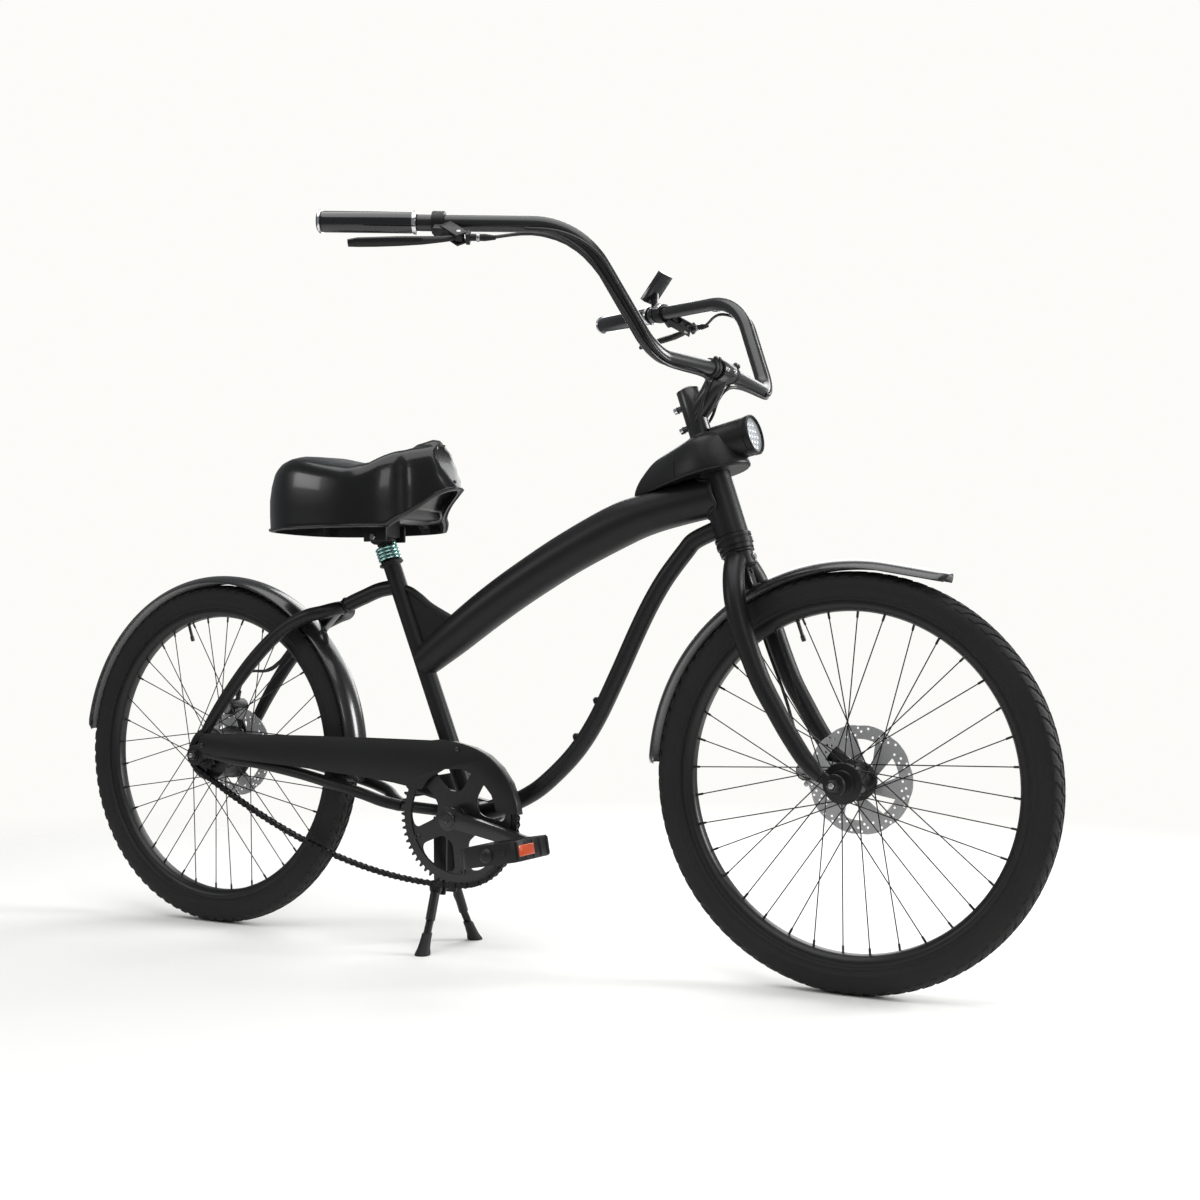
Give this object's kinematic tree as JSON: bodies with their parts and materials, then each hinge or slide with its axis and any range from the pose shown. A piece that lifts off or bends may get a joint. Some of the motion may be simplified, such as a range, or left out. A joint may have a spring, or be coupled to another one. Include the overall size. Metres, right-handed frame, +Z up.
{
  "type": "step-through bicycle",
  "caption": "Step-through cruiser bicycle with a swept bar, sprung saddle, curved frame tubes, mudguards, chain guard, disc brakes and a centre stand.",
  "frame": {"origin": "on the floor, under the middle of the bounding box", "axes": "+X forwards, +Y to the rider's left, +Z up"},
  "size_m": [2.0032, 0.9732, 1.2866],
  "materials": {
    "frame_black": "fine matt powder coat",
    "bar_black": "satin",
    "mudguard_black": "satin",
    "tyre_rubber": "matt rubber",
    "rim_black": "black anodised",
    "hub_black": "black anodised",
    "rotor_steel": "brushed",
    "chain_black": "blackened",
    "crank_black": "satin",
    "pedal_black": "matt",
    "grip_gloss": "gloss",
    "saddle_gloss": "gloss vinyl",
    "plastic_black": "matt",
    "spring_chrome": "tinted chrome",
    "bolt_steel": "zinc",
    "cable_black": "satin",
    "lens_clear": "clear",
    "display_black": "gloss"
  },
  "bodies": {
    "frame": {"head_tube": "frame_black", "headset_lower_cup": "frame_black", "top_tube": "frame_black", "down_tube": "frame_black", "seat_tube": "frame_black", "bottom_bracket_shell": "frame_black", "seat_gusset": "frame_black", "monostay": "frame_black", "seat_stay_arch": "frame_black", "chain_stay_right": "frame_black", "chain_stay_left": "frame_black", "rear_axle": "bolt_steel", "chain_guard": "frame_black", "rear_mudguard": "mudguard_black", "headlight_shroud": "frame_black", "headlight_lens": "lens_clear", "chain": "chain_black", "spring_collar": "spring_chrome", "stand_bracket": "frame_black", "rear_caliper": "plastic_black", "rear_brake_cable": "cable_black"},
    "steering": {"fork_steerer": "frame_black", "fork_leg_right": "frame_black", "fork_leg_left": "frame_black", "front_mudguard": "mudguard_black", "stem": "bar_black", "stem_faceplate": "bar_black", "handlebar": "bar_black", "grip_right": "grip_gloss", "grip_left": "grip_gloss", "lever_bracket_right": "plastic_black", "lever_bracket_left": "plastic_black", "display": "display_black", "brake_cable_right": "cable_black", "brake_cable_left": "cable_black", "front_axle": "bolt_steel", "front_caliper": "plastic_black", "front_brake_cable": "cable_black"},
    "front_wheel": {"front_tyre": "tyre_rubber", "front_rim": "rim_black", "front_hub": "hub_black", "front_rotor": "rotor_steel"},
    "rear_wheel": {"rear_tyre": "tyre_rubber", "rear_rim": "rim_black", "rear_hub": "hub_black", "rear_rotor": "rotor_steel"},
    "crankset": {"chainring": "crank_black", "crank_right": "crank_black", "crank_left": "crank_black"},
    "sprocket": {"rear_sprocket": "chain_black"},
    "right_pedal": {"pedal_right": "pedal_black"},
    "left_pedal": {"pedal_left": "pedal_black"},
    "right_brake_lever": {"brake_lever_right": "plastic_black"},
    "left_brake_lever": {"brake_lever_left": "plastic_black"},
    "rear_brake_arm": {"rear_caliper_arm": "bolt_steel"},
    "front_brake_arm": {"front_caliper_arm": "bolt_steel"},
    "stand": {"center_stand": "plastic_black"},
    "saddle": {"seat_post": "bar_black", "saddle_base": "plastic_black", "saddle_cover": "saddle_gloss"}
  },
  "joints": [
    {"name": "steering_turn", "type": "hinge", "parent": "frame", "child": "steering", "pos_m": [0.46606, 0, 0.72992], "axis": [-0.3148, 0, 0.9492], "range_deg": [-50, 50]},
    {"name": "front_wheel_spin", "type": "hinge", "parent": "steering", "child": "front_wheel", "pos_m": [0.66817, 0, 0.33339], "axis": [0, 1, 0], "continuous": true},
    {"name": "rear_wheel_spin", "type": "hinge", "parent": "frame", "child": "rear_wheel", "pos_m": [-0.65083, 0, 0.33339], "axis": [0, 1, 0], "continuous": true},
    {"name": "crank_spin", "type": "hinge", "parent": "frame", "child": "crankset", "pos_m": [-0.04583, 0, 0.243], "axis": [0, 1, 0], "continuous": true},
    {"name": "sprocket_spin", "type": "hinge", "parent": "frame", "child": "sprocket", "pos_m": [-0.65083, 0, 0.33339], "axis": [0, 1, 0], "continuous": true},
    {"name": "pedal_right_spin", "type": "hinge", "parent": "crankset", "child": "right_pedal", "pos_m": [0.12535, 0, 0.20662], "axis": [0, 1, 0], "continuous": true},
    {"name": "pedal_left_spin", "type": "hinge", "parent": "crankset", "child": "left_pedal", "pos_m": [-0.217, 0, 0.27938], "axis": [0, 1, 0], "continuous": true},
    {"name": "brake_lever_right_pull", "type": "hinge", "parent": "steering", "child": "right_brake_lever", "pos_m": [0.19223, -0.39955, 1.17163], "axis": [-0.2824, 0.5906, -0.7559], "range_deg": [0, 10], "stiffness_Nm_per_rad": 2},
    {"name": "brake_lever_left_pull", "type": "hinge", "parent": "steering", "child": "left_brake_lever", "pos_m": [0.19223, 0.39955, 1.17163], "axis": [0.2824, 0.5906, 0.7559], "range_deg": [0, 10], "stiffness_Nm_per_rad": 2},
    {"name": "rear_brake_arm_turn", "type": "hinge", "parent": "frame", "child": "rear_brake_arm", "pos_m": [-0.66783, 0, 0.42339], "axis": [0, 1, 0], "range_deg": [0, 5]},
    {"name": "front_brake_arm_turn", "type": "hinge", "parent": "steering", "child": "front_brake_arm", "pos_m": [0.57817, 0, 0.34409], "axis": [0, 1, 0], "range_deg": [0, 5]},
    {"name": "stand_fold", "type": "hinge", "parent": "frame", "child": "stand", "pos_m": [-0.10583, 0, 0.11], "axis": [0, 1, 0], "range_deg": [0, 80]},
    {"name": "saddle_height", "type": "slide", "parent": "frame", "child": "saddle", "axis": [-0.3746, 0, 0.9272], "range_m": [0, 0.12]}
  ],
  "couplings": [
    {"joint": "sprocket_spin", "follows": "crank_spin", "ratio": 3.75},
    {"joint": "front_brake_arm_turn", "follows": "brake_lever_left_pull", "ratio": 0.45},
    {"joint": "rear_brake_arm_turn", "follows": "brake_lever_right_pull", "ratio": 0.45}
  ]
}
